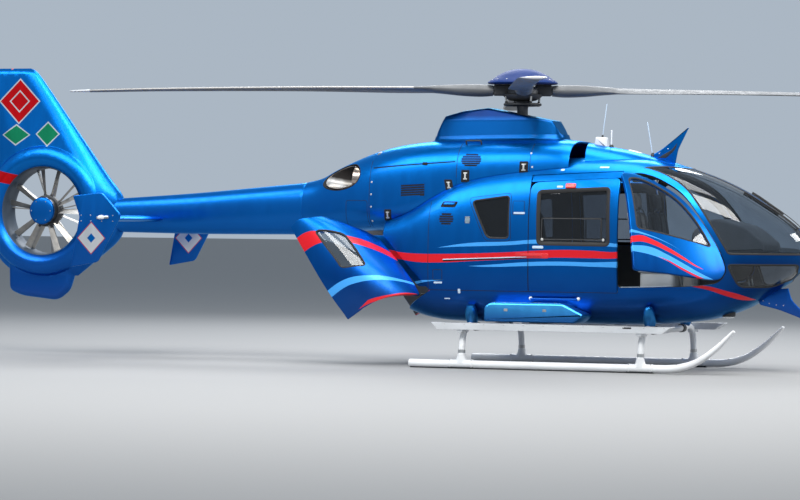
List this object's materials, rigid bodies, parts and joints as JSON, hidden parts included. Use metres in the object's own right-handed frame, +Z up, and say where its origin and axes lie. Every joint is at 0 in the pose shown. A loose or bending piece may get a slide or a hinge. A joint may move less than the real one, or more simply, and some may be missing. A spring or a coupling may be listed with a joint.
{
  "type": "light twin-engined helicopter with a shrouded tail fan",
  "caption": "Light helicopter on skids with a domed rotor hub, shrouded tail fan, rear clamshell doors, hinged cockpit doors and sliding cabin doors.",
  "frame": {"origin": "on the ground, under the middle of the whole machine's box, blades included", "axes": "+X towards the nose, +Y to the machine's left, +Z up"},
  "size_m": [11.8602, 9.6002, 3.394],
  "materials": {
    "blue_paint": "glossy metallic blue",
    "white_paint": "semi-gloss white",
    "step_metal": "satin silver white",
    "blade_paint": "satin grey",
    "grey_metal": "satin, lightly worn",
    "dark_steel": "dark coated",
    "bright_steel": "heat-tinted bright",
    "black_plastic": "fine-grained",
    "seat_cloth": "woven upholstery",
    "clear_pane": "clear, lightly tinted"
  },
  "bodies": {
    "airframe": {"belly_floor": "blue_paint", "cabin_roof": "blue_paint", "side_wall_right": "blue_paint", "side_wall_left": "blue_paint", "nose_frame": "blue_paint", "sliding_door_right": "blue_paint", "sliding_door_left": "blue_paint", "engine_cowling": "blue_paint", "rear_cowling": "blue_paint", "front_fairing": "blue_paint", "mast_fairing": "blue_paint", "tail_boom": "blue_paint", "tail_fin": "blue_paint", "stabiliser": "blue_paint", "side_pod": "blue_paint", "wire_cutter_top": "blue_paint", "wire_cutter_low": "blue_paint", "aft_window_right": "clear_pane", "aft_window_left": "clear_pane", "windshield_right": "clear_pane", "windshield_left": "clear_pane", "chin_window_right": "clear_pane", "chin_window_left": "clear_pane", "sliding_window_right": "clear_pane", "sliding_window_left": "clear_pane", "engine_block": "dark_steel", "exhaust_right": "bright_steel", "exhaust_left": "bright_steel", "fan_stator": "grey_metal", "skid_right": "white_paint", "skid_left": "white_paint", "crosstube_front": "white_paint", "crosstube_rear": "white_paint", "step_right": "step_metal", "step_left": "step_metal", "instrument_panel": "black_plastic", "pilot_seat_right": "seat_cloth", "pilot_seat_left": "seat_cloth", "cabin_seat": "seat_cloth"},
    "main_rotor": {"rotor_hub": "dark_steel", "hub_cap": "blue_paint", "control_plate": "dark_steel", "rotor_blade_1": "blade_paint", "rotor_blade_2": "blade_paint", "rotor_blade_3": "blade_paint", "rotor_blade_4": "blade_paint"},
    "tail_fan": {"tail_fan": "grey_metal"},
    "pilot_door_right": {"pilot_door_right": "blue_paint", "pilot_window_right": "clear_pane"},
    "pilot_door_left": {"pilot_door_left": "blue_paint", "pilot_window_left": "clear_pane"},
    "rear_door_right": {"rear_door_right": "blue_paint", "rear_window_right": "clear_pane"},
    "rear_door_left": {"rear_door_left": "blue_paint", "rear_window_left": "clear_pane"}
  },
  "joints": [
    {"name": "main_rotor_spin", "type": "hinge", "parent": "airframe", "child": "main_rotor", "pos_m": [1.12995, 0, 3.11], "axis": [0, 0, 1], "continuous": true},
    {"name": "tail_fan_spin", "type": "hinge", "parent": "airframe", "child": "tail_fan", "pos_m": [-4.85005, 0, 1.7], "axis": [0, 1, 0], "continuous": true},
    {"name": "pilot_door_right_hinge", "type": "hinge", "parent": "airframe", "child": "pilot_door_right", "pos_m": [3.68995, -0.64, 1.29], "axis": [-0.5275, -0.0709, 0.8466], "range_deg": [-50, 0]},
    {"name": "pilot_door_left_hinge", "type": "hinge", "parent": "airframe", "child": "pilot_door_left", "pos_m": [3.68995, 0.64, 1.29], "axis": [-0.5275, 0.0709, 0.8466], "range_deg": [-50, 0]},
    {"name": "rear_door_right_hinge", "type": "hinge", "parent": "airframe", "child": "rear_door_right", "pos_m": [0.27995, -0.79, 0.86], "axis": [-0.7011, 0.1845, 0.6888], "range_deg": [-80, 0]},
    {"name": "rear_door_left_hinge", "type": "hinge", "parent": "airframe", "child": "rear_door_left", "pos_m": [0.27995, 0.79, 0.86], "axis": [-0.7011, -0.1845, 0.6888], "range_deg": [0, 80]}
  ]
}
